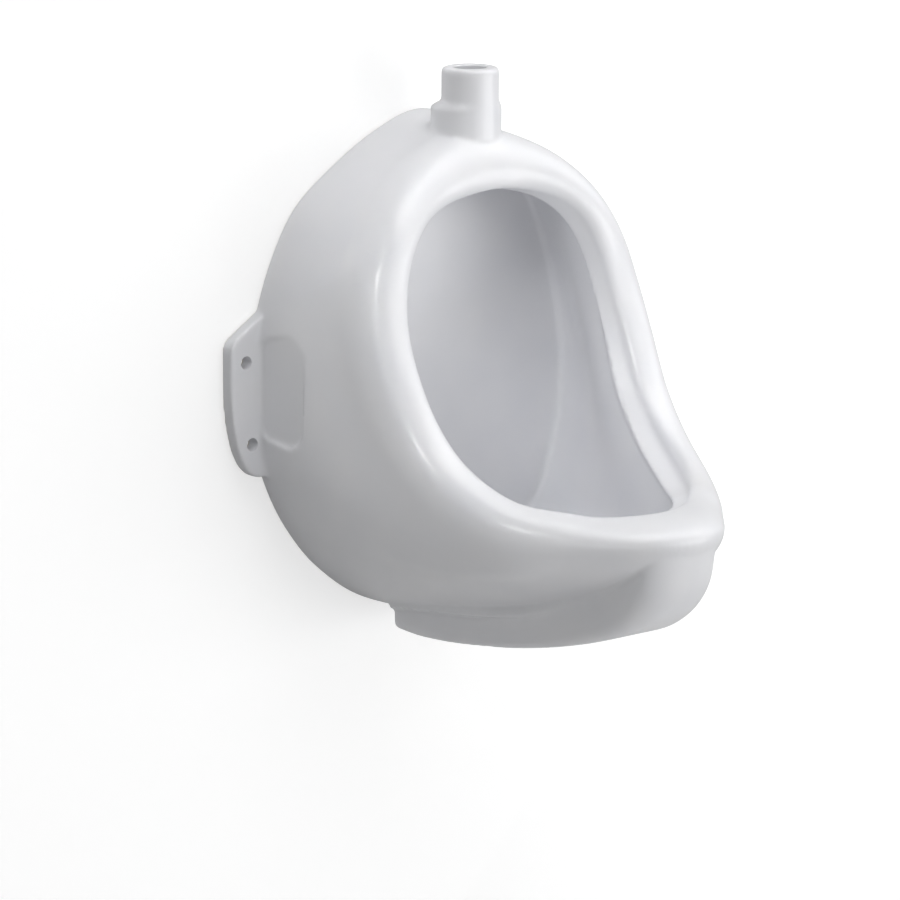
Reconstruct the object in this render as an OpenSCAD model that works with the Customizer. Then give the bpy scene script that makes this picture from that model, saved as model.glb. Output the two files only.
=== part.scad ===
// Wall hung urinal with flat back and lipped front, and the waste fitting in its floor.
// Millimetres, +Z up, the wall is the plane Y = 0 and the bowl projects toward -Y.
// The origin is on the wall, half way between the two upper fixing holes.

/* [Body] */
// width of the china body without the lugs
body_w = 326; // [260:1:400]
// height of the top of the back above the upper fixing holes
body_top_z = 173; // [150:1:210]
// depth of the bottom of the back below the upper fixing holes
body_bottom_drop = 211; // [180:1:260]
// radius of the edge all round the flat back
back_edge_r = 3; // [1:0.5:6]
// thickness of the flat back wall of the bowl
back_wall = 12; // [9:0.5:18]

/* [Opening and rim] */
// width of the opening at its inner edge
opening_w = 191; // [150:1:230]
// height of the top of the opening above the upper fixing holes
opening_top_z = 120; // [100:1:135]
// drop of the lip edge below the upper fixing holes
lip_drop = 98; // [80:1:115]
// distance of the top of the opening from the wall
opening_top_d = 78; // [65:1:95]
// distance of the front of the opening from the wall
lip_d = 265; // [220:1:300]
// width of the rim from the inner edge to its shoulder at the sides
rim_w = 34; // [26:1:44]
// height of the rolled crest over the inner edge at the sides
rim_rise = 24; // [14:1:30]
// width of the bevel between inner edge and roll
bevel_w = 15; // [8:0.5:20]
// depth of the flushing channel behind the rim edge
channel_depth = 9; // [5:0.5:12]
// distance from the rim edge to the outer side of the flushing channel
channel_out = 27; // [20:0.5:30]

/* [Inside] */
// greatest width of the flat back wall inside the bowl
inside_w = 276; // [220:1:300]
// height of the top of the back wall inside, above the upper fixing holes
inside_top_z = 154; // [140:1:160]
// drop of the floor of the bowl at the back wall
floor_drop = 169; // [150:1:180]

/* [Lugs] */
// width over both lugs
lug_span = 375; // [345:1:440]
// thickness of a lug
lug_t = 11.3; // [8:0.1:16]
// diameter of the fixing holes
hole_dia = 10; // [6.5:0.1:13]
// distance between the two upper fixing holes
upper_span = 346; // [330:1:360]
// distance between the two lower fixing holes
lower_span = 335; // [325:1:350]
// distance from an upper to a lower fixing hole
hole_drop = 62.5; // [45:0.5:70]
// height of the lug corner above the upper holes
lug_top = 15; // [10:1:20]
// height of the lug where its slope meets the body
lug_slope_top = 38; // [30:1:45]
// drop of the lower end of a lug below the upper holes
lug_bottom = 89; // [75:1:95]
// rounding of the upper lug corner
lug_corner_r = 7; // [3:0.5:12]
// taper of the lug toward its lower end
lug_taper = 6.5; // [0:0.5:12]
// depth of the screw recess in the side of the body
side_recess = 4.5; // [2:0.5:8]
// tilt of the screw recess, in degrees
side_recess_tilt = 11; // [0:1:20]
// length of the screw recess, out from the face of the lug
side_recess_d = 42; // [25:1:50]
// height of the screw recess above the upper holes
side_recess_top = 22; // [15:1:28]
// drop of the lower end of the screw recess
side_recess_drop = 63; // [50:1:68]

/* [Inlet horn] */
// height of the top of the inlet horn
horn_top_z = 211; // [195:1:240]
// distance of the horn axis from the wall
horn_d = 63; // [55:0.5:75]
// outside diameter of the upper part of the horn
horn_dia = 43; // [34:0.5:50]
// diameter of the collar
collar_dia = 53; // [46:0.1:60]
// height of the collar edge
collar_z = 181; // [172:1:190]
// height of the slope on top of the collar
collar_slope = 5; // [2:0.5:8]
// offset of the collar toward the wall
collar_shift = 4.5; // [0:0.5:8]
// bore of the horn
horn_bore = 25; // [20:0.5:30]
// rounding at the top of the horn
horn_edge_r = 3; // [1:0.5:4]

/* [Foot] */
// width of the foot at its widest
foot_w = 104; // [90:1:120]
// distance of the back of the foot from the wall
foot_back_d = 33.3; // [25:1:42]
// drop of the foot underside below the upper holes
foot_drop = 219; // [214:1:235]
// distance of the chin from the wall
chin_d = 309; // [270:1:345]
// height of the chin, from the underside of the foot to the lip
chin_rise = 115; // [90:1:130]
// height of the side of the foot up to the body
foot_side = 25; // [18:0.5:32]
// fillet between the foot and the body
foot_fillet = 5; // [2:0.5:9]
// thickness of the foot around its hollow
foot_wall = 9; // [7:0.5:14]
// length of the hollow in the foot
hollow_l = 120; // [100:1:130]
// corner rounding of the hollow
hollow_r = 14; // [8:1:20]

/* [Waste] */
// distance of the waste axis from the wall
outlet_d = 92; // [84:1:110]
// diameter of the waste hole in the china
outlet_hole = 45; // [43:0.5:48]
// drop of the seat of the waste flange
seat_drop = 177; // [172:0.5:182]
// china left between the flange seat and the hollow of the foot
outlet_web = 14; // [11:0.5:18]
// diameter of the dished seat
seat_dia = 67; // [64:0.5:76]
// thread diameter of the waste
thread_dia = 41.9; // [38:0.1:42.5]
// pitch of the thread
thread_pitch = 2.3; // [1.5:0.1:3]
// depth of the thread
thread_depth = 0.9; // [0.5:0.1:1.2]
// bore of the waste
waste_bore = 32; // [28:0.5:34]
// diameter of the wider mouth of the bore, which holds the skirt of the grating
waste_mouth = 34; // [33:0.5:36]
// depth of that mouth under the flange
mouth_l = 10; // [6:0.5:14]
// diameter of the waste flange
flange_dia = 63; // [58:0.5:66]
// thickness of the waste flange
flange_t = 3.5; // [3:0.1:5]
// length of the waste under its flange
tail_l = 37.5; // [30:0.5:39]
// thickness of the seal under the flange
flange_seal_t = 2; // [1.5:0.1:3]
// diameter of the nut side washers
washer_dia = 58; // [54:0.5:64]
// thickness of the rubber washer
rubber_washer_t = 4; // [3:0.5:5]
// thickness of the slip washer
slip_washer_t = 1.2; // [0.8:0.1:2]
// thickness of the back nut
nut_t = 9; // [7:0.5:10]
// size of the back nut across its flats
nut_af = 54; // [50:0.5:58]
// clearance around the thread
thread_gap = 0.06; // [0.02:0.01:0.2]

/* [Grating] */
// diameter of the grating rim
grating_dia = 53; // [46:0.5:54]
// depth of the recess that holds the grating in the flange
grating_seat = 1.9; // [1:0.1:2.5]
// thickness of the grating
grating_t = 1.6; // [1:0.1:2]
// height of the dome over the flange
dome_h = 11; // [7:0.5:14]
// diameter of the dome
dome_dia = 42; // [36:0.5:44]
// length of the skirt in the waste bore
skirt_l = 8; // [5:0.5:12]
// diameter of a drain hole
drain_dia = 4.4; // [3:0.1:5]
// thickness of the seal under the grating rim
grating_seal_t = 1; // [0.8:0.1:1.5]
// gap between the grating and the waste
lift_gap = 0.35; // [0.3:0.05:0.6]

/* [Hidden] */

// overlap that makes cuts pass through a face
cut_over = 1;

// The rim and the back outline are described at 13 stations, from the top (first) down one side
// to the bottom (last). Every value is a share of one of the lengths above.
back_x_shares = [0, 0.272, 0.528, 0.736, 0.876, 0.972, 0.997, 0.977, 0.912, 0.792, 0.61, 0.341, 0];
back_z_shares = [1, 0.965, 0.903, 0.834, 0.737, 0.618, 0.498, 0.384, 0.292, 0.201, 0.113, 0.036, 0];
rim_x_shares = [0, 0.347, 0.607, 0.797, 0.923, 0.984, 0.99, 0.943, 0.867, 0.733, 0.498, 0.289, 0];
rim_d_shares = [0, -0.009, 0.006, 0.035, 0.065, 0.107, 0.174, 0.286, 0.451, 0.657, 0.844, 0.949, 1];
rim_z_shares = [1, 0.976, 0.93, 0.854, 0.741, 0.596, 0.444, 0.266, 0.116, 0.017, 0.007, 0.004, 0];
inside_x_shares = [0, 0.24, 0.46, 0.635, 0.775, 0.893, 0.98, 1, 0.935, 0.815, 0.61, 0.32, 0];
inside_z_shares = [1, 0.984, 0.944, 0.882, 0.79, 0.66, 0.505, 0.35, 0.2, 0.085, 0.028, 0.006, 0];
// lean of the rim from facing forward (0 degrees) to facing up (90 degrees)
rim_leans = [5, 6, 8, 11, 13, 20, 30, 41, 52, 64, 75, 84, 88];

// Section of the rim at 9 stations from top to bottom, out from the inner edge and up from it.
bevel_out_shares = [0.087, 0.439, 0.457, 0.584, 0.846, 1.119, 1.241, 0.734, 0.562];
bevel_up_shares = [1.073, 1.095, 0.915, 0.674, 0.598, 0.497, 0.357, 0.269, 0.243];
crest_out_shares = [0.466, 0.468, 0.526, 0.642, 0.678, 0.62, 0.615, 0.5, 0.437];
crest_up_shares = [0.774, 0.796, 0.953, 1.09, 1.098, 0.94, 0.8, 0.321, 0.299];
shoulder_out_shares = [1.418, 1.209, 1.046, 0.96, 0.958, 1.056, 1.254, 1.196, 1.491];
shoulder_up_shares = [-0, -0.05, 0.018, 0.113, 0.226, 0.334, 0.365, 0.099, -0.026];
side_start_shares = [0.447, 0.446, 0.442, 0.437, 0.429, 0.42, 0.409, 0.397, 0.402];
side_end_shares = [0.395, 0.387, 0.356, 0.313, 0.27, 0.236, 0.219, 0.223, 0.258];
channel_shares = [1, 1, 1, 0.85, 0.75];
inner_start_shares = [0.35, 0.35, 0.35, 0.4, 0.45];
inner_end_shares = [0.3, 0.3, 0.3, 0.28, 0.25];

// Keel of the foot at 13 stations, from its back along the underside and up the nose to the lip.
keel_d_shares = [0, 0.105, 0.214, 0.326, 0.438, 0.551, 0.66, 0.76, 0.852, 0.93, 0.982, 1.002, 1];
keel_z_shares = [0, 0, 0.011, 0.035, 0.067, 0.111, 0.168, 0.235, 0.317, 0.439, 0.6, 0.791, 1];
keel_w_shares = [0.93, 1, 0.985, 0.96, 0.92, 0.87, 0.82, 0.77, 0.73, 0.7, 0.68, 0.67, 0.67];
// how far the rounding of the edge reaches in from the side, as a share of the half width
keel_round_shares = [0.16, 0.16, 0.16, 0.17, 0.19, 0.23, 0.3, 0.4, 0.54, 0.7, 0.84, 0.92, 0.92];
// how far the same rounding reaches up the side, and how far the side and its root go
keel_curve_shares = [0.28, 0.28, 0.28, 0.29, 0.31, 0.34, 0.4, 0.48, 0.56, 0.62, 0.62, 0.5, 0.4];
keel_side_shares = [0.68, 0.92, 1, 1, 1, 1, 1, 0.98, 0.94, 0.86, 0.74, 0.6, 0.42];
keel_root_shares = [1.15, 1.3, 1.35, 1.35, 1.35, 1.35, 1.35, 1.35, 1.3, 1.2, 1, 0.75, 0.45];

column_step = 5;
columns = 360 / column_step;
keel_rings = 30;
bow = 0.5523;

// share table value at angle a, smooth through its stations
function smooth(p, q, r, s, f) =
    (2 * q + (r - p) * f + (2 * p - 5 * q + 4 * r - s) * f * f
     + (3 * q - p - 3 * r + s) * f * f * f) / 2;

function station(tab, i, odd) =
    let (n = len(tab) - 1)
    i < 0 ? (odd ? -tab[-i] : tab[-i]) :
    i > n ? (odd ? -tab[2 * n - i] : tab[2 * n - i]) : tab[i];

function at(tab, a, odd = false) =
    let (u = a / 180 * (len(tab) - 1))
    let (i = min(floor(u), len(tab) - 2))
    smooth(station(tab, i - 1, odd), station(tab, i, odd), station(tab, i + 1, odd),
           station(tab, i + 2, odd), u - i);

function unit(v) = v / norm(v);

// four point curve, n steps, first point left out
function curve(p, q, r, s, n) =
    [for (i = [1 : n]) let (u = i / n)
        (1 - u) * (1 - u) * (1 - u) * p + 3 * (1 - u) * (1 - u) * u * q
        + 3 * (1 - u) * u * u * r + u * u * u * s];

// points below are [across, out from the wall, up]
function rim_half(a) = [
    opening_w / 2 * at(rim_x_shares, a, true),
    opening_top_d + (lip_d - opening_top_d) * at(rim_d_shares, a),
    -lip_drop + (opening_top_z + lip_drop) * at(rim_z_shares, a)];

function rim_point(a) =
    a < 0 ? let (p = rim_half(-a)) [-p[0], p[1], p[2]] :
    a > 180 ? let (p = rim_half(360 - a)) [-p[0], p[1], p[2]] : rim_half(a);

// one section through the wall of the china, from the flat back over the rim to the bowl's back wall
function section(a) =
    let (
        edge = rim_point(a),
        along = unit(rim_point(a + 1) - rim_point(a - 1)),
        lean = at(rim_leans, a),
        up0 = [0, cos(lean), sin(lean)],
        up = unit(up0 - (up0 * along) * along),
        out = cross(along, up),
        back = [body_w / 2 * at(back_x_shares, a, true), 0,
                -body_bottom_drop + (body_top_z + body_bottom_drop) * at(back_z_shares, a)],
        inward = -unit([back[0], 0, back[2] + lug_t]),
        wall_edge = back + [0, back_edge_r, 0],
        shoulder = edge + out * rim_w * at(shoulder_out_shares, a)
            + up * rim_rise * at(shoulder_up_shares, a),
        crest = edge + out * rim_w * at(crest_out_shares, a)
            + up * rim_rise * at(crest_up_shares, a),
        bevel = edge + out * bevel_w * at(bevel_out_shares, a)
            + up * bevel_w * at(bevel_up_shares, a),
        run = norm(shoulder - wall_edge),
        rise_s = (crest - shoulder) * up,
        width_s = (shoulder - crest) * out,
        rise_b = (crest - bevel) * up,
        width_b = (crest - bevel) * out,
        g = at(channel_shares, a),
        skin = channel_depth * g,
        far = channel_out * g,
        under = edge + out * (far + channel_depth / 4) - up * channel_depth * (0.6 + g / 3),
        inside = [inside_w / 2 * at(inside_x_shares, a, true), back_wall,
                  -floor_drop + (inside_top_z + floor_drop) * at(inside_z_shares, a)],
        inside_out = inside + [0, back_edge_r, 0] - inward * back_edge_r / 2,
        run_in = norm(under - inside_out)
    )
    concat(
        [back + inward * back_edge_r,
         back + inward * back_edge_r * 0.3 + [0, back_edge_r * 0.3, 0],
         wall_edge],
        curve(wall_edge, wall_edge + [0, run * at(side_start_shares, a), 0],
              shoulder - up * run * at(side_end_shares, a), shoulder, 9),
        curve(shoulder, shoulder + up * rise_s * bow, crest + out * width_s * bow, crest, 4),
        curve(crest, crest - out * width_b * bow, bevel + up * rise_b * bow, bevel, 3),
        [edge + (bevel - edge) * 0.15, edge + out * skin * 0.2 - up * skin * 0.2,
         edge + out * skin - up * skin * 0.1,
         edge + out * (far + skin) / 2.2 + up * skin * 0.6,
         edge + out * (far + skin) / 1.8 + up * skin * 0.9,
         edge + out * far * 0.92 + up * skin * 0.6,
         under],
        curve(under, under - up * run_in * at(inner_end_shares, a),
              inside_out + [0, run_in * at(inner_start_shares, a), 0], inside_out, 8),
        [inside + inward * back_edge_r / 2]
    );

module bowl() {
    halves = [for (i = [0 : columns / 2]) section(i * column_step)];
    rows = len(halves[0]);
    points = [for (i = [0 : columns - 1])
        let (right = i <= columns / 2, s = halves[right ? i : columns - i])
        for (p = s) [right ? p[0] : -p[0], -p[1], p[2]]];
    sides = [for (i = [0 : columns - 1]) for (j = [0 : rows - 2])
        let (k = (i + 1) % columns, a = i * rows + j, b = k * rows + j)
        for (t = i < columns / 2
            ? [[a, b + 1, a + 1], [a, b, b + 1]]
            : [[a, b, a + 1], [a + 1, b, b + 1]]) t];
    back = [for (i = [columns - 1 : -1 : 0]) i * rows];
    front = [for (i = [0 : columns - 1]) i * rows + rows - 1];
    polyhedron(points = points, faces = concat(sides, [back], [front]), convexity = 12);
}

// a point of the keel, as [out from the wall, up]
function keel(a) = [
    foot_back_d + (chin_d - foot_back_d) * at(keel_d_shares, a),
    -foot_drop + chin_rise * at(keel_z_shares, a)];

// cross section of the foot, square to its keel, with a rounded edge and a fillet at the body
function foot_ring(a) =
    let (
        p = keel(a),
        run = unit(keel(min(a + 2, 180)) - keel(max(a - 2, 0))),
        half = foot_w / 2 * at(keel_w_shares, a),
        reach = half * at(keel_round_shares, a),
        curl = foot_side * at(keel_curve_shares, a),
        side = foot_side * at(keel_side_shares, a),
        root = foot_side * at(keel_root_shares, a),
        arc = [for (k = [0 : 6]) [half - reach + reach * sin(k * 15), curl - curl * cos(k * 15)]],
        right = concat(arc, [[half, max(curl, side - foot_fillet) + foot_fillet * 0.02],
            [half + foot_fillet * 0.3, side - foot_fillet * 0.2],
            [half + foot_fillet, side + foot_fillet * 0.3], [half + foot_fillet, root]]),
        n = len(right))
    [for (q = concat([for (k = [n - 1 : -1 : 0]) [-right[k][0], right[k][1]]], right))
        [q[0], -(p[0] - run[1] * q[1]), p[1] + run[0] * q[1]]];

module foot() {
    rings = [for (i = [0 : keel_rings]) foot_ring(i * 180 / keel_rings)];
    n = len(rings[0]);
    points = [for (r = rings) for (p = r) p];
    sides = [for (i = [0 : keel_rings - 1]) for (j = [0 : n - 1])
        let (k = (j + 1) % n, a = i * n, b = (i + 1) * n)
        for (t = [[a + j, b + k, a + k], [a + j, b + j, b + k]]) t];
    first = [for (j = [0 : n - 1]) j];
    last = [for (j = [n - 1 : -1 : 0]) keel_rings * n + j];
    polyhedron(points = points, faces = concat(sides, [first], [last]), convexity = 6);
}

module foot_hollow() {
    half = foot_w / 2 - foot_wall;
    translate([0, -foot_back_d - foot_wall, -foot_drop - cut_over])
        linear_extrude(height = foot_drop + cut_over - seat_drop - outlet_web)
            hull() {
                for (x = [-half + hollow_r, half - hollow_r])
                    translate([x, -hollow_r])
                        circle(r = hollow_r, $fn = 32);
                for (x = [-half + 2 * hollow_r, half - 2 * hollow_r])
                    translate([x, -hollow_l + 2 * hollow_r])
                        circle(r = 2 * hollow_r, $fn = 40);
            }
}

// lug outline on the right, x across and y up, with a rounded corner above and a long curve below
module lug_outline() {
    x1 = lug_span / 2;
    x0 = body_w / 2 - 2 * lug_t;
    top = [x1, lug_top];
    slope = unit([body_w / 2 - lug_t, lug_slope_top] - top);
    start = [x1, lug_top - lug_corner_r];
    tip = [x1, -lug_t];
    toe = [body_w / 2 - lug_t / 2, -lug_bottom];
    polygon(concat(
        [[x0, -lug_bottom], [x0, lug_slope_top + lug_t], [body_w / 2 - lug_t, lug_slope_top]],
        [top + slope * lug_corner_r],
        curve(top + slope * lug_corner_r, top + slope * lug_corner_r / 2,
              top - [0, lug_corner_r / 2], start, 5),
        [tip],
        curve(tip, [x1, -hole_drop * 0.72], [x1 - lug_taper, -lug_bottom], toe, 12)));
}

module lugs() {
    for (side = [0, 1])
        mirror([side, 0, 0])
            rotate([90, 0, 0])
                linear_extrude(height = lug_t)
                    lug_outline();
}

module fixing_hole(x, z) {
    translate([x, cut_over, z])
        rotate([90, 0, 0])
            cylinder(d = hole_dia, h = lug_t + 2 * cut_over, $fn = 48);
}

// flat in the side of the body that lets a driver reach the lug screws
module screw_recess() {
    r = side_recess_d / 2.6;
    x0 = body_w / 2 - side_recess;
    translate([x0, -lug_t, 0])
        rotate([0, 0, -side_recess_tilt])
            rotate([0, 90, 0])
                linear_extrude(height = 4 * side_recess)
                    hull()
                        for (z = [side_recess_top - r, -side_recess_drop + r]) {
                            translate([-z, -side_recess_d + r])
                                circle(r = r, $fn = 40);
                            translate([-z, -r * 0.8])
                                circle(r = r * 0.8, $fn = 32);
                        }
}

module horn() {
    collar_r = collar_dia / 2;
    top_r = horn_dia / 2;
    base_z = collar_z - collar_slope * 5.2;
    translate([0, -horn_d + collar_shift, base_z])
        cylinder(r = collar_r, h = collar_z - base_z, $fn = 72);
    hull() {
        translate([0, -horn_d + collar_shift, collar_z - collar_slope])
            cylinder(r = collar_r, h = collar_slope, $fn = 72);
        translate([0, -horn_d, collar_z])
            cylinder(r = top_r, h = collar_slope, $fn = 72);
    }
    translate([0, -horn_d, 0])
        rotate_extrude($fn = 72)
            polygon(concat(
                [[0, base_z], [top_r, base_z]],
                [for (k = [0 : 6])
                    [top_r - horn_edge_r + horn_edge_r * cos(k * 15),
                     horn_top_z - horn_edge_r + horn_edge_r * sin(k * 15)]],
                [[0, horn_top_z]]));
}

module china_body() {
    color("white")
        difference() {
            union() {
                bowl();
                foot();
                lugs();
                horn();
            }
            for (side = [-1, 1]) {
                fixing_hole(side * upper_span / 2, 0);
                fixing_hole(side * lower_span / 2, -hole_drop);
            }
            screw_recess();
            mirror([1, 0, 0])
                screw_recess();
            translate([0, -horn_d, inside_top_z - 2 * back_wall])
                cylinder(d = horn_bore, h = horn_top_z - inside_top_z + 2 * back_wall + cut_over, $fn = 64);
            foot_hollow();
            translate([0, -outlet_d, -foot_drop])
                cylinder(d = outlet_hole, h = foot_drop - seat_drop + cut_over, $fn = 64);
            translate([0, -outlet_d, -seat_drop])
                cylinder(d1 = seat_dia, d2 = seat_dia + seat_drop - floor_drop,
                         h = (seat_drop - floor_drop) * 2, $fn = 72);
        }
}

flange_z = -seat_drop + flange_seal_t;
tail_z = flange_z - tail_l;
washer_z = -seat_drop - outlet_web - rubber_washer_t;
slip_z = washer_z - slip_washer_t;
nut_z = slip_z - nut_t;
rim_z = flange_z + flange_t - grating_seat + grating_seal_t;
thread_bore = thread_dia + 2 * thread_gap;

module ring(inner, outer, z, h) {
    translate([0, -outlet_d, z])
        rotate_extrude($fn = 72)
            polygon([[inner / 2, 0], [outer / 2, 0], [outer / 2, h], [inner / 2, h]]);
}

module waste_body() {
    turns = floor((tail_l - flange_seal_t - outlet_web) / thread_pitch);
    r = thread_dia / 2;
    low = -tail_l;
    color("silver")
        translate([0, -outlet_d, flange_z])
            rotate_extrude($fn = 72)
                polygon(concat(
                    [[waste_bore / 2, low], [r - thread_depth, low]],
                    [for (k = [0 : turns - 1])
                        for (p = [[-1, 0.1], [0, 0.4], [0, 0.7], [-1, 1]])
                            [r + p[0] * thread_depth, low + (k + p[1]) * thread_pitch]],
                    [[r - thread_depth, 0],
                     [flange_dia / 2 - flange_t / 3, 0],
                     [flange_dia / 2, flange_t / 3],
                     [flange_dia / 2 - flange_t / 2, flange_t],
                     [grating_dia / 2 + lift_gap, flange_t],
                     [grating_dia / 2 + lift_gap, flange_t - grating_seat],
                     [waste_mouth / 2, flange_t - grating_seat],
                     [waste_mouth / 2, -mouth_l],
                     [waste_bore / 2, -mouth_l - waste_mouth / 2 + waste_bore / 2]]));
}

module flange_seal() {
    color("dimgray")
        ring(thread_dia + 8 * thread_gap, flange_dia - flange_t, -seat_drop, flange_seal_t);
}

module rubber_washer() {
    color("dimgray")
        ring(thread_bore, washer_dia, washer_z, rubber_washer_t);
}

module slip_washer() {
    color("white")
        ring(thread_dia + 8 * thread_gap, washer_dia - slip_washer_t, slip_z, slip_washer_t);
}

module back_nut() {
    color("gold")
        translate([0, -outlet_d, nut_z])
            difference() {
                intersection() {
                    cylinder(d = nut_af / cos(30), h = nut_t, $fn = 6);
                    cylinder(d1 = nut_af * 1.06, d2 = nut_af * 1.06 + nut_t * 2, h = nut_t, $fn = 72);
                }
                translate([0, 0, -cut_over])
                    cylinder(d = thread_bore, h = nut_t + 2 * cut_over, $fn = 64);
            }
}

module domed_grating() {
    skirt_r = waste_mouth / 2 - lift_gap;
    dome_r = dome_dia / 2;
    rise = dome_h - flange_t / 2;
    color("silver")
        translate([0, -outlet_d, rim_z])
            difference() {
                rotate_extrude($fn = 72)
                    polygon(concat(
                        [[skirt_r - grating_t, -skirt_l], [skirt_r, -skirt_l], [skirt_r, 0],
                         [grating_dia / 2, 0], [grating_dia / 2, grating_t / 2],
                         [grating_dia / 2 - grating_t / 2, grating_t]],
                        [for (k = [0 : 8]) [dome_r * cos(k * 11.25), grating_t + rise * sin(k * 11.25)]],
                        [for (k = [8 : -1 : 1])
                            [(skirt_r - grating_t) * cos(k * 11.25), rise * sin(k * 11.25)]]));
                for (k = [0 : 5])
                    rotate([0, 0, k * 60])
                        translate([dome_r * 0.34, 0, 0])
                            cylinder(d = drain_dia, h = 2 * dome_h, $fn = 20);
                for (k = [0 : 11])
                    rotate([0, 0, k * 30 + 15])
                        translate([dome_r * 0.62, 0, 0])
                            cylinder(d = drain_dia, h = 2 * dome_h, $fn = 20);
                cylinder(d = drain_dia, h = 2 * dome_h, $fn = 20);
            }
}

module grating_seal() {
    color("dimgray")
        ring(waste_mouth, grating_dia - grating_seal_t, rim_z - grating_seal_t, grating_seal_t);
}

china_body();
waste_body();
flange_seal();
rubber_washer();
slip_washer();
back_nut();
domed_grating();
grating_seal();
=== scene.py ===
"""Looks of the wall hung urinal: glazed china body, waste fitting, wall, floor, light and camera.

Lengths of the object are in millimetres up to the point where a mesh is made, as in the part's
source. Wall, floor, lamps and camera are placed in metres.
The wall is the plane Y = 0, the bowl projects toward -Y, and the origin is on the wall,
half way between the two upper fixing holes.
"""

import math

import bmesh
import bpy
import numpy as np
from mathutils import Matrix, Vector


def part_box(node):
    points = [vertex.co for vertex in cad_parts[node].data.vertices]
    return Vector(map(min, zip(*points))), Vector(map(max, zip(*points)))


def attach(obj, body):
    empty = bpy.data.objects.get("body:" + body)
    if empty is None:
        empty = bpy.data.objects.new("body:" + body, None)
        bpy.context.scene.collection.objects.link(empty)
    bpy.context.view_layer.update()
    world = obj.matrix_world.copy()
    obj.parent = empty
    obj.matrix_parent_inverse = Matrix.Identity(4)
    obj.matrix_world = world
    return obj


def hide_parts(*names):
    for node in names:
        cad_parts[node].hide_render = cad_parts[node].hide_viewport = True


MM = 0.001
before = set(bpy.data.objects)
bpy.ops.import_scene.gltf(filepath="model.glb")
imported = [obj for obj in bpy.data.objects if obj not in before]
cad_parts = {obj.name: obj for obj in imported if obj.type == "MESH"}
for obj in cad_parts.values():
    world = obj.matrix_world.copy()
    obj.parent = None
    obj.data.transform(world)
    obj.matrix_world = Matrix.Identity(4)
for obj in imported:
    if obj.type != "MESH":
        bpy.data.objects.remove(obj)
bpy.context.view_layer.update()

# Sizes of the bowl and its rim. All sizes of the china are those of the part's source, apart from
# CHIN_D, which is 309 there and larger here for the rounder nose.
BODY_W = 326.0
BODY_TOP_Z = 173.0
BODY_BOTTOM = 211.0
BACK_EDGE_R = 3.0
BACK_WALL = 12.0
OPENING_W = 191.0
OPENING_TOP_Z = 120.0
OPENING_TOP_D = 78.0
LIP_D = 265.0
LIP_DROP = 98.0
RIM_W = 34.0
RIM_RISE = 24.0
BEVEL_W = 15.0
CHANNEL_DEPTH = 9.0
CHANNEL_OUT = 27.0
INSIDE_W = 276.0
INSIDE_TOP_Z = 154.0
FLOOR_DROP = 169.0

# Sizes of the fixing lugs, their holes and the screw recesses in the flanks
LUG_SPAN = 375.0
LUG_T = 11.3
LUG_TOP = 15.0
LUG_SLOPE_TOP = 38.0
LUG_BOTTOM = 89.0
LUG_CORNER_R = 7.0
LUG_TAPER = 6.5
LUG_BULGE_SHARE = 0.72
HOLE_DIA = 10.0
UPPER_SPAN = 346.0
LOWER_SPAN = 335.0
HOLE_DROP = 62.5
RECESS_DEPTH = 4.5
RECESS_TILT = 11.0
RECESS_D = 42.0
RECESS_TOP = 22.0
RECESS_DROP = 63.0
RECESS_CORNERS = 2.6
RECESS_NEAR_SHARE = 0.8

# Sizes of the inlet horn and its collar
HORN_TOP_Z = 211.0
HORN_D = 63.0
HORN_DIA = 43.0
HORN_BORE = 25.0
HORN_EDGE_R = 3.0
HORN_MOUTH = 1.0
HORN_MOUTH_OVER = 0.2
HORN_ROOT_SLOPES = 5.2
COLLAR_DIA = 53.0
COLLAR_Z = 181.0
COLLAR_SLOPE = 5.0
COLLAR_SHIFT = 4.5

# Sizes of the foot, the hollow in it and the outlet
FOOT_W = 104.0
FOOT_BACK_D = 33.3
FOOT_DROP = 219.0
CHIN_D = 313.5
CHIN_RISE = 115.0
FOOT_SIDE = 25.0
FOOT_FILLET = 5.0
FOOT_WALL = 9.0
HOLLOW_L = 120.0
HOLLOW_R = 14.0
OUTLET_D = 92.0
OUTLET_HOLE = 45.0
SEAT_DROP = 177.0
OUTLET_WEB = 14.0
SEAT_DIA = 67.0

# How far a cut runs past the face that it opens
CUT_OVER = 1.0
# Handle length that bends a four point curve to a quarter circle of radius 1
BOW = 0.5523

# Points along each stretch of a section through the china
SIDE_POINTS = 40
SHOULDER_POINTS = 14
BEVEL_POINTS = 12
INNER_POINTS = 30

SKIN_VOXEL = 1.35
# Edges that bend by more than these degrees stay sharp, as round the holes drilled after the skin
SHARP_ANGLE = 38

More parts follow.
